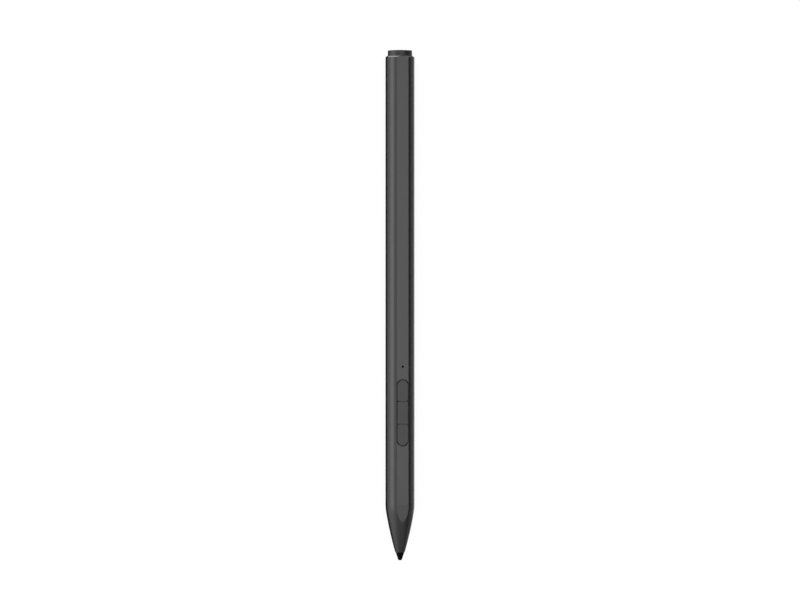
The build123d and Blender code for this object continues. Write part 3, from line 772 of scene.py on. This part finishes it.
def section(station, radius, flat, softness):
    """Ring round the pen's axis, cut off at the height of a flat with its two edges rounded over."""
    half_turn = SECTION_STEPS // 2
    edge = max(acos(min(flat / radius, 1)), LEAST_FLAT_ANGLE)
    ring = []
    for step in range(-half_turn, half_turn):
        count = abs(step)
        turn = edge * count / FLAT_STEPS
        if count > FLAT_STEPS:
            turn = edge + (pi - edge) * (count - FLAT_STEPS) / (half_turn - FLAT_STEPS)
        reach = radius
        if cos(turn) > 0:
            # A softened lesser of the flat's reach and the round's rounds the edge between them.
            chord = flat / cos(turn)
            reach = min(chord, radius) - softness * log(1 + exp(-abs(chord - radius) / softness))
        side = -1 if step < 0 else 1
        ring.append(at(side * reach * sin(turn), station, reach * cos(turn)))
    return ring


def nose_line(sizes):
    """Stations and radii from the mouth to the full barrel: a long arc and the shoulder's bend."""
    turn = sizes.shoulder_turn
    bend = sizes.shoulder_radius
    shoulder = MOUTH + sizes.nose_length
    mouth = Vector((MOUTH, sizes.mouth_radius))
    start = Vector((shoulder - bend * sin(turn), sizes.radius - bend * (1 - cos(turn))))
    ahead = Vector((-cos(turn), -sin(turn)))
    inward = Vector((sin(turn), -cos(turn)))
    # The long arc leaves the shoulder in its own direction and ends at the mouth, which gives its radius.
    chord = mouth - start
    radius = chord.length_squared / (2 * chord.dot(inward))
    sweep = 2 * asin(chord.length / (2 * radius))
    line = []
    for step in range(NOSE_STEPS):
        swept = sweep * (1 - step / NOSE_STEPS)
        line.append(start + inward * radius * (1 - cos(swept)) + ahead * radius * sin(swept))
    for step in range(SHOULDER_STEPS + 1):
        left = turn * (1 - step / SHOULDER_STEPS)
        line.append(Vector((shoulder - bend * sin(left), sizes.radius - bend * (1 - cos(left)))))
    return line


def barrel_wall(sizes):
    """Mesh of the barrel before its openings are cut: out over lip, nose and rim, back along the bore."""
    shoulder = MOUTH + sizes.nose_length
    bore = sizes.radius - sizes.wall
    bore_flat = FLAT_HEIGHT - sizes.wall
    plug_front = span("tail_plug")[0]
    lip_end = MOUTH + sizes.lip_length
    ledge = span("guide_sleeve")[1] - sizes.sleeve_flange
    nose = nose_line(sizes)
    lip = rounded([(lip_end, sizes.lip_bore), (MOUTH, sizes.lip_bore), nose[0], nose[1]], sizes.edge_break)
    count = int((BARREL_END - shoulder) / RING_SPACING)
    spacing = (BARREL_END - shoulder) / count
    straight = [(shoulder + spacing * step, sizes.radius) for step in range(1, count)]
    rim = rounded(
        [
            straight[-1],
            (BARREL_END - sizes.rim_chamfer, sizes.radius),
            (BARREL_END, sizes.radius - sizes.rim_chamfer),
            (BARREL_END, bore),
            (plug_front, bore),
        ],
        sizes.edge_break,
    )
    places = []
    for station, radius in lip + nose[2:] + straight[:-1] + rim:
        lean = max(0, shoulder - station) * tan(sizes.flat_lean)
        places.append((station, radius, FLAT_HEIGHT - lean))
    places += [
        (plug_front, bore, bore_flat),
        (ledge, bore, bore_flat),
        (ledge, bore - sizes.ledge, bore),
        (lip_end, sizes.lip_bore + sizes.lip_step, bore),
    ]
    return skin([section(*place, sizes.flat_softness) for place in places], closed=True)


def flared_cutter(outline_of, flare, wall):
    """Cutter through the flat, whose outline is spread by a flare where it meets the surface."""
    return layered(
        (outline_of(0), FLAT_HEIGHT - wall - OVERRUN),
        (outline_of(0), FLAT_HEIGHT - flare),
        (outline_of(flare), FLAT_HEIGHT),
        (outline_of(flare + OVERRUN), FLAT_HEIGHT + OVERRUN),
    )


def slot_ends(keys):
    """Front and back stations and width of the slot in the flat, which the keys' flanges reach past."""
    front, _, _, _, flange_width = span("front_key")
    back = span("rear_key")[1]
    reach = keys.flange_lip - keys.gap - keys.end_room
    return front + reach, back - reach, flange_width - 2 * keys.flange_lip


class PEN_OT_barrel(bpy.types.Operator):
    """Turn the barrel with its flat, nose, bore and rim, and cut its openings"""

    bl_idname = "pen.barrel"
    bl_label = "Barrel"

    def execute(self, context):
        sizes = context.scene.pen_barrel
        front, back, width = slot_ends(context.scene.pen_keys)
        light_front, light_back = span("light_pipe")[:2]
        port_front, port_back, _, _, port_width = span("port_shell")
        port_reach = port_width / 2 + sizes.seat_gap

        def slot(spread):
            """Outline of the key slot, spread on all sides."""
            end = width / 2 + spread
            return plan(2 * end, front - spread, back + spread, end, end)

        def light(spread):
            """Outline of the light's hole, spread on all sides."""
            return disc(sizes.light_radius + spread, (light_front + light_back) / 2)

        port = plan(
            2 * port_reach, port_front - sizes.seat_gap, port_back + sizes.seat_gap, port_reach, port_reach,
        )
        cutters = (
            flared_cutter(slot, sizes.slot_flare, sizes.wall),
            flared_cutter(light, sizes.light_flare, sizes.wall),
            layered((port, BARREL_BACK - OVERRUN), (port, BARREL_BACK / 2)),
        )
        mesh = cut(context, barrel_wall(sizes), cutters)
        rim_start = TIP + BARREL_END - sizes.rim_chamfer
        least, most = CHAMFER_TILTS
        for face in mesh.faces:
            chamfered = face.calc_center_median().y > rim_start and least < face.normal.y < most
            face.material_index = 1 if chamfered else 0
        colours = context.scene.pen_colours
        finishes = (blasted_aluminium(colours), cut_aluminium(colours))
        add_piece(context, "barrel_skin", mesh, finishes, "barrel", "barrel")
        return {"FINISHED"}


def key_cap(keys, outline_of, foot, bottom, flange, top):
    """Mesh of a key or the bridge: a foot, a flange under the wall and a cap with a rounded edge."""
    flange_bottom = span("front_key")[2] + keys.post_length
    flange_top = flange_bottom + keys.flange_thickness
    layers = [(foot, bottom), (foot, flange_bottom), (flange, flange_bottom), (flange, flange_top)]
    layers.append((outline_of(0), flange_top))
    for step in range(ROUNDING_STEPS + 1):
        turn = pi / 2 * step / ROUNDING_STEPS
        layers.append((outline_of(keys.edge * (1 - cos(turn))), top - keys.edge * (1 - sin(turn))))
    layers.append((outline_of(LEVEL_TOP * keys.edge), top))
    return layered(*layers)


class PEN_OT_keys(bpy.types.Operator):
    """Mould the two keys in the flat and the bridge between them"""

    bl_idname = "pen.keys"
    bl_label = "Keys"

    def execute(self, context):
        keys = context.scene.pen_keys
        finish = textured_polycarbonate(context.scene.pen_colours)
        key_width = slot_ends(keys)[2] - 2 * keys.gap
        bridge_width = key_width - 2 * keys.bridge_margin
        # Of each piece: its body, how far its flange reaches past its cap in front and behind, the
        # width of the cap and its corner radii there
        caps = {
            "front_key": ("front_key", keys.flange_lip, 0, key_width, key_width / 2, keys.corner),
            "key_bridge": ("barrel", 0, 0, bridge_width, keys.edge, keys.edge),
            "rear_key": ("rear_key", 0, keys.flange_lip, key_width, keys.corner, key_width / 2),
        }
        for node, (body, front_lip, back_lip, width, front_corner, back_corner) in caps.items():
            front, back, bottom, top, flange_width = span(node)
            cap_front = front + front_lip
            cap_back = back - back_lip
            middle = (cap_front + cap_back) / 2

            def outline(inset):
                """Outline of the cap, drawn in on all sides."""
                return plan(
                    width - 2 * inset, cap_front + inset, cap_back - inset,
                    max(front_corner - inset, 0), max(back_corner - inset, 0),
                )

            foot = disc(keys.post_radius, middle)
            if body == "barrel":
                half = keys.foot_length / 2
                foot = plan(keys.foot_width, middle - half, middle + half, keys.edge, keys.edge)
            flange = plan(flange_width, front, back, keys.edge, keys.edge)
            mesh = key_cap(keys, outline, foot, bottom, flange, top)
            add_piece(context, f"{node}_cap", mesh, [finish], body, node)
        return {"FINISHED"}


class PEN_OT_nib(bpy.types.Operator):
    """Turn the nib with its blunt point, collar and shank"""

    bl_idname = "pen.nib"
    bl_label = "Nib"

    def execute(self, context):
        ends = context.scene.pen_ends
        _, end, _, _, width = span("nib")
        point = ends.point_radius
        shank_start = end - ends.shank_length
        steps = 4 * ROUNDING_STEPS
        turns = [pi / 2 - (pi / 2 - ends.point_angle) * step / steps for step in range(steps + 1)]
        tip = [(point * (1 - sin(turn)), point * cos(turn)) for turn in turns]
        cone_end = tip[-1][0] + (width / 2 - tip[-1][1]) / tan(ends.point_angle)
        body = rounded(
            [
                tip[-1],
                (cone_end, width / 2),
                (shank_start, width / 2),
                (shank_start, ends.shank_radius),
                (end, ends.shank_radius),
                (end, 0),
            ],
            ends.nib_edge,
        )
        finish = moulded_acetal(context.scene.pen_colours)
        add_piece(context, "nib_point", lathe(tip + body[1:]), [finish], "nib", "nib")
        return {"FINISHED"}


class PEN_OT_tail_button(bpy.types.Operator):
    """Turn the tail button with its crown, skirt and stem"""

    bl_idname = "pen.tail_button"
    bl_label = "Tail button"

    def execute(self, context):
        ends = context.scene.pen_ends
        stem_end, top, _, _, width = span("tail_button")
        plug_front, plug_back = span("tail_plug")[:2]
        radius = width / 2
        stem = ends.stem_radius
        snap = plug_front - ends.snap_gap
        skirt_end = plug_back + ends.head_gap
        inside = top - ends.crown - ends.head_top
        under = [
            (stem_end, 0),
            (stem_end, stem),
            (snap - ends.snap_height, stem),
            (snap, stem + ends.snap_lip),
            (snap, stem),
            (inside, stem),
            (inside, radius - ends.skirt_wall),
            (skirt_end, radius - ends.skirt_wall),
            (skirt_end, radius),
        ]
        ball = (radius**2 + ends.crown**2) / (2 * ends.crown)
        steps = 2 * ROUNDING_STEPS
        turns = [asin(radius / ball) * (1 - step / steps) for step in range(steps + 1)]
        crown = [(top - ball * (1 - cos(turn)), ball * sin(turn)) for turn in turns]
        rim = rounded([(skirt_end, radius), crown[0], crown[2]], ends.rim_edge)
        finish = turned_aluminium(context.scene.pen_colours)
        add_piece(
            context, "tail_button_cap", lathe(under + rim[1:-1] + crown[2:]), [finish],
            "tail_button", "tail_button",
        )
        return {"FINISHED"}


class PEN_OT_light(bpy.types.Operator):
    """Mould the light pipe with its foot and its domed end"""

    bl_idname = "pen.light"
    bl_label = "Signal light"

    def execute(self, context):
        sizes = context.scene.pen_barrel
        front, back, bottom, top, width = span("light_pipe")
        station = (front + back) / 2
        pipe = sizes.light_radius - sizes.light_gap
        foot_top = FLAT_HEIGHT - sizes.wall - sizes.seat_gap
        layers = [
            (disc(width / 2, station), bottom),
            (disc(width / 2, station), foot_top),
            (disc(pipe, station), foot_top),
        ]
        for step in range(ROUNDING_STEPS):
            turn = pi / 2 * step / ROUNDING_STEPS
            layers.append((disc(pipe * cos(turn), station), top - sizes.light_dome * (1 - sin(turn))))
        finish = smoked_polycarbonate(context.scene.pen_colours)
        add_piece(
            context, "light_lens", layered(*layers), [finish], "barrel", "light_pipe",
        )
        return {"FINISHED"}


class PEN_OT_port(bpy.types.Operator):
    """Stamp the shell of the charging port and set contacts on both sides of its tongue"""

    bl_idname = "pen.port"
    bl_label = "Charging port"

    def execute(self, context):
        inner = context.scene.pen_inner
        front, back, mouth, top, width = span("port_shell")
        wall = inner.shell_wall

        def ring(inset):
            """Outline of the shell, drawn in on all sides."""
            reach = width / 2 - inset
            return plan(2 * reach, front + inset, back - inset, reach, reach)

        lip = [pi * step / (2 * ROUNDING_STEPS) for step in range(2 * ROUNDING_STEPS + 1)]
        shell = layered(
            (ring(wall), top - wall),
            *[(ring(wall / 2 * (1 + cos(t))), mouth + wall / 2 * (1 - sin(t))) for t in lip],
            (ring(0), top),
        )
        steel = drawn_metal("steel_stamped_nickel_plated", "#c6c4bd", 0.1 * MM, 0.3)
        add_piece(context, "port_sleeve", shell, [steel], "barrel", "port_shell")

        tongue_front, tongue_back, tongue_end, _, tongue_width = span("port_tongue")
        middle = (tongue_front + tongue_back) / 2
        reach = tongue_width + 2 * inner.contact_proud
        half = inner.contact_width / 2
        start = tongue_end + inner.contact_setback
        contacts = []
        for number in range(CONTACTS):
            station = middle + (number - (CONTACTS - 1) / 2) * inner.contact_pitch
            blade = plan(reach, station - half, station + half, inner.contact_proud, inner.contact_proud)
            sunk = plan(tongue_width, station - half, station + half, 0, 0)
            contacts.append(
                layered((sunk, start), (blade, start + inner.contact_width), (blade, top - 2 * wall)),
            )
        gold = drawn_metal("copper_alloy_gold_plated", "#d9b25a", 0.05 * MM, 0.25)
        add_piece(context, "port_contacts", joined(contacts), [gold], "barrel", None)
        return {"FINISHED"}


class PEN_OT_spring(bpy.types.Operator):
    """Wind the spring behind the nib and mould the pad that its force sensor feels"""

    bl_idname = "pen.spring"
    bl_label = "Return spring"

    def execute(self, context):
        inner = context.scene.pen_inner
        front, back, _, _, width = span("return_spring")
        wire = inner.spring_wire
        radius = (width - wire) / 2
        count = int(inner.spring_turns * COIL_STEPS)
        points = []
        for step in range(count + 1):
            share = step / count
            turn = 2 * pi * inner.spring_turns * share
            # The turns close up at both ends, as a compression spring's do
            run = share - CLOSED_ENDS * sin(2 * pi * share) / (2 * pi)
            station = front + wire / 2 + (back - front - wire) * run
            points.append(at(radius * sin(turn), station, radius * cos(turn)))
        steel = drawn_metal("spring_steel_cold_drawn", "#b4b7ba", 0.03 * MM, 0.25)
        coil = add_piece(
            context, "spring_coil", tube(points, wire / 2, Vector((0, 1, 0))), [steel],
            "barrel", "return_spring",
        )
        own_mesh(coil)

        front, back, _, _, width = span("force_pad")
        outline = rounded([(front, 0), (front, width / 2), (back, width / 2), (back, 0)], inner.pad_edge)
        rubber = moulded_plastic("silicone_rubber_moulded_grey", "#a9a9a6", 0.1 * MM, 0.6)
        pad = add_piece(
            context, "sensor_pad", lathe(outline), [rubber], "barrel", "force_pad",
        )
        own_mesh(pad)
        return {"FINISHED"}


class PEN_OT_wiring(bpy.types.Operator):
    """Run the battery leads and the flat cable between the cell and the boards"""

    bl_idname = "pen.wiring"
    bl_label = "Wiring"

    def execute(self, context):
        inner = context.scene.pen_inner
        front, back, bottom, top, width = span("battery_leads")
        radius = (top - bottom) / 2
        middle = bottom + radius
        core = inner.core_radius
        bare = inner.lead_bare
        sleeves = []
        cores = []
        for x in (radius - width / 2, width / 2 - radius):
            sleeve = [at(x, front + bare, middle), at(x, back, middle)]
            wire = [
                at(x, front, bottom + core),
                at(x, front + bare / 2, bottom + core),
                at(x, front + bare, middle),
                at(x, front + 2 * bare, middle),
            ]
            sleeves.append([tube(sleeve, radius, Vector((0, 0, 1)))])
            cores.append(tube(wire, core, Vector((0, 0, 1))))
        finishes = (
            moulded_plastic("silicone_rubber_extruded_red", "#8c1f1d", 0.1 * MM, 0.55),
            moulded_plastic("silicone_rubber_extruded_black", "#1d1d1e", 0.1 * MM, 0.55),
            drawn_metal("copper_drawn_tinned", "#bdb9b0", 0.03 * MM, 0.3),
        )
        add_piece(
            context, "battery_wires", joined(*sleeves, cores), finishes,
            "barrel", "battery_leads",
        )

        cable_front, cable_back, _, _, cable_width = span("main_flex")
        board_back, _, board_top = span("main_board")[1:4]
        cell_front, _, _, cell_top = span("battery_cell")[:4]
        tray_back = span("magnet_tray")[1]
        charge_front, _, charge_bottom = span("charge_board")[:3]
        over_cell = cell_top + inner.film_glue
        under_board = charge_bottom - inner.film_thickness
        line = rounded(
            [
                (cable_front, board_top),
                (board_back, board_top),
                (cell_front, over_cell),
                (tray_back, over_cell),
                (charge_front, under_board),
                (cable_back, under_board),
            ],
            inner.film_bend,
        )
        half = cable_width / 2
        rings = []
        for station, height in line:
            over = height + inner.film_thickness
            rings.append([
                at(-half, station, height), at(half, station, height),
                at(half, station, over), at(-half, station, over),
            ])
        film = tracked_film(context.scene.pen_colours)
        add_piece(context, "flat_cable", skin(rings), [film], "barrel", "main_flex")
        return {"FINISHED"}


class PEN_OT_inner_parts(bpy.types.Operator):
    """Give each part inside the barrel that keeps the frame's shape its own finish"""

    bl_idname = "pen.inner_parts"
    bl_label = "Inner parts"

    def execute(self, context):
        finishes = inner_finishes(context.scene.pen_colours)
        for subpart in frame["record"]["subparts"]:
            if subpart["material_slot"] in finishes:
                for slot in frame["nodes"][subpart["node"]].material_slots:
                    slot.material = finishes[subpart["material_slot"]]
        return {"FINISHED"}


def add_lamp(context, name, power, turn, distance, along, size):
    """Soft box or strip that faces the pen, turned from overhead towards the right."""
    data = bpy.data.lights.new(name, "AREA")
    data.shape = "RECTANGLE"
    data.size, data.size_y = size
    data.energy = power
    lamp = bpy.data.objects.new(name, data)
    lamp.location = (distance * sin(turn), along, distance * cos(turn))
    lamp.rotation_euler = (0, turn, 0)
    lamp.visible_camera = False
    context.scene.collection.objects.link(lamp)


def add_floor(context, glow):
    """Pale board under the pen with a low edge all round, which ends the view at its horizon."""
    # Painted board is matt and even. What the eye sees is white with the pen's own soft shadow in it.
    material, tree, place = new_material("board_painted_white")
    grain = add(tree, "ShaderNodeTexNoise", {"Vector": place, "Scale": 1 / (40 * MM), "Detail": 2.0})
    tone = add(
        tree, "ShaderNodeMix",
        {0: grain.outputs["Fac"], 6: linear("#f3f3f3"), 7: linear("#f5f5f5")}, data_type="RGBA",
    )
    paint = add(tree, "ShaderNodeBsdfDiffuse", {"Color": tone.outputs[2]})
    veil = add(tree, "ShaderNodeBsdfDiffuse", {"Color": linear("#898989")})
    # The board gets less light towards its edge, so it glows up to full white on the way there.
    away = add(tree, "ShaderNodeVectorMath", {0: place}, operation="LENGTH")
    strength = add(
        tree, "ShaderNodeMapRange",
        {"Value": away.outputs["Value"], "From Max": FLOOR_REACH / 2, "To Min": glow, "To Max": 1.0},
    )
    white = add(tree, "ShaderNodeEmission", {"Strength": strength.outputs["Result"]})
    shown = add(tree, "ShaderNodeAddShader", {0: veil.outputs[0], 1: white.outputs[0]})
    path = add(tree, "ShaderNodeLightPath")
    mirrored = add(
        tree, "ShaderNodeMath",
        {0: path.outputs["Is Glossy Ray"], 1: path.outputs["Is Transmission Ray"]}, operation="MAXIMUM",
    )
    seen = add(
        tree, "ShaderNodeMath",
        {0: path.outputs["Is Camera Ray"], 1: mirrored.outputs["Value"]}, operation="MAXIMUM",
    )
    surface = add(
        tree, "ShaderNodeMixShader", {0: seen.outputs["Value"], 1: paint.outputs[0], 2: shown.outputs[0]},
    )
    add(tree, "ShaderNodeOutputMaterial", {"Surface": surface.outputs[0]})
    mesh = bmesh.new()
    bmesh.ops.create_grid(mesh, x_segments=FLOOR_SQUARES, y_segments=FLOOR_SQUARES, size=FLOOR_REACH)
    raised = bmesh.ops.extrude_edge_only(mesh, edges=[edge for edge in mesh.edges if edge.is_boundary])
    corners = [item for item in raised["geom"] if isinstance(item, bmesh.types.BMVert)]
    bmesh.ops.translate(mesh, verts=corners, vec=(0, 0, FLOOR_EDGE))
    floor = new_object(context, "floor", mesh, [material])


def add_shade_card(context, name, code, across, along):
    """Card of painted shade on the floor beside the pen, which only the pen's gloss shows."""
    # Painted shade: a matt card with a faint mottle in its tone, which darkens the floor that the pen
    # mirrors beside it as the pen's shadow would.
    material, tree, place = new_material(f"card_painted_shade_{name}")
    shade_mottle = add(tree, "ShaderNodeTexNoise", {"Vector": place, "Scale": 1 / (2 * MM)})
    tone = add(
        tree, "ShaderNodeMix",
        {0: shade_mottle.outputs["Fac"], 6: shade(linear(code), 0.9), 7: shade(linear(code), 1.1)},
        data_type="RGBA",
    )
    shade_bsdf = add(tree, "ShaderNodeBsdfDiffuse", {"Color": tone.outputs[2]})
    add(tree, "ShaderNodeOutputMaterial", {"Surface": shade_bsdf.outputs[0]})
    mesh = bmesh.new()
    left, right = across
    front, back = along
    corners = ((left, front), (right, front), (right, back), (left, back))
    mesh.faces.new([mesh.verts.new((x, y, CARD_THICKNESS)) for x, y in corners])
    card = new_object(context, name, mesh, [material])
    # Only the pen's gloss sees the card, so it paints shade into the pen's reflection and casts none.
    card.visible_camera = False
    card.visible_diffuse = False
    card.visible_shadow = False


def add_studio(context, stage):
    """Light of the room, which falls from left to right and is more even past the tip."""
    world = bpy.data.worlds.new("studio")
    context.scene.world = world
    world.use_nodes = True
    tree = world.node_tree
    tree.nodes.clear()
    place = add(tree, "ShaderNodeTexCoord")
    way = add(tree, "ShaderNodeSeparateXYZ", {"Vector": place.outputs["Generated"]})

    def ramp(axis, start, end, first, last):
        """Value that runs from the first to the last as a direction turns along an axis."""
        sockets = {
            "Value": way.outputs[axis], "From Min": start, "From Max": end, "To Min": first, "To Max": last,
        }
        return add(tree, "ShaderNodeMapRange", sockets).outputs["Result"]

    sides = ramp("X", -1.0, 1.0, stage.left_level, stage.right_level)
    # The barrel lies level and mirrors what is over and beside it. Nose and nib lean and mirror the wall.
    left, right = WALL_EVEN
    wall = add(
        tree, "ShaderNodeMath",
        {
            0: ramp("X", -1.0, left, stage.left_level, stage.front_level),
            1: ramp("X", right, 1.0, 1.0, WALL_END_SHARE),
        },
        operation="MULTIPLY",
    )
    strength = add(
        tree, "ShaderNodeMix",
        {0: ramp("Y", *WALL_FADE, 0.0, 1.0), 2: sides, 3: wall.outputs["Value"]},
    )
    surround = add(tree, "ShaderNodeBackground", {"Strength": strength.outputs[0]})
    add(tree, "ShaderNodeOutputWorld", {"Surface": surround.outputs[0]})


class PEN_OT_stage(bpy.types.Operator):
    """Set up the pale floor, the soft lamps and the camera"""

    bl_idname = "pen.stage"
    bl_label = "Stage"

    def execute(self, context):
        scene = context.scene
        stage = scene.pen_stage
        scene.view_settings.view_transform = "Standard"
        add_floor(context, stage.floor_glow)
        # Cards of painted shade, which only the pen's gloss shows
        for name, card in CARDS.items():
            add_shade_card(context, name, *card)
        add_studio(context, stage)
        add_lamp(context, "top_soft_box", stage.top_power, stage.top_turn, *SOFT_BOX)
        add_lamp(context, "left_strip", stage.side_power, stage.side_turn, *STRIP)

        turn = stage.view_turn
        target = Vector((0, stage.aim + (CAD_BOX[0].y + CAD_BOX[1].y) / 2, AXIS_HEIGHT))
        data = bpy.data.cameras.new("camera")
        data.lens = data.sensor_width * stage.view_distance / stage.view_width
        data.clip_end = 4 * FLOOR_REACH
        camera = bpy.data.objects.new("camera", data)
        camera.location = target + stage.view_distance * Vector((-sin(turn), 0, cos(turn)))
        camera.rotation_euler = (0, -turn, 0)
        scene.collection.objects.link(camera)
        scene.camera = camera
        return {"FINISHED"}


class PEN_PT_sidebar(bpy.types.Panel):
    """Lists the steps that dress the pen, with the sizes and colours that they use"""

    bl_idname = "PEN_PT_sidebar"
    bl_label = "Stylus pen"
    bl_space_type = "VIEW_3D"
    bl_region_type = "UI"
    bl_category = "Pen"

    def draw(self, context):
        for step in STEPS:
            self.layout.operator(step.bl_idname)
        for group in GROUPS:
            values = getattr(context.scene, group)
            box = self.layout.box()
            for name in values.bl_rna.properties.keys():
                if name not in ("rna_type", "name"):
                    box.prop(values, name)


STEPS = (
    PEN_OT_barrel,
    PEN_OT_keys,
    PEN_OT_nib,
    PEN_OT_tail_button,
    PEN_OT_light,
    PEN_OT_port,
    PEN_OT_spring,
    PEN_OT_wiring,
    PEN_OT_inner_parts,
    PEN_OT_stage,
)
GROUPS = {
    "pen_barrel": BarrelSizes,
    "pen_keys": KeySizes,
    "pen_ends": EndSizes,
    "pen_inner": InnerSizes,
    "pen_colours": PenColours,
    "pen_stage": PenStage,
}


def register():
    """Register the groups, the steps and the panel, and keep the groups on the scene."""
    for item in (*GROUPS.values(), *STEPS, PEN_PT_sidebar):
        bpy.utils.register_class(item)
    for name, group in GROUPS.items():
        setattr(bpy.types.Scene, name, PointerProperty(type=group))


def unregister():
    """Take the groups off the scene and unregister everything."""
    for name in GROUPS:
        delattr(bpy.types.Scene, name)
    for item in reversed((*GROUPS.values(), *STEPS, PEN_PT_sidebar)):
        bpy.utils.unregister_class(item)


def main():
    """Dress the pen step by step."""
    register()
    bpy.ops.pen.barrel()
    bpy.ops.pen.keys()
    bpy.ops.pen.nib()
    bpy.ops.pen.tail_button()
    bpy.ops.pen.light()
    bpy.ops.pen.port()
    bpy.ops.pen.spring()
    bpy.ops.pen.wiring()
    bpy.ops.pen.inner_parts()
    bpy.ops.pen.stage()


if __name__ == "__main__":
    main()
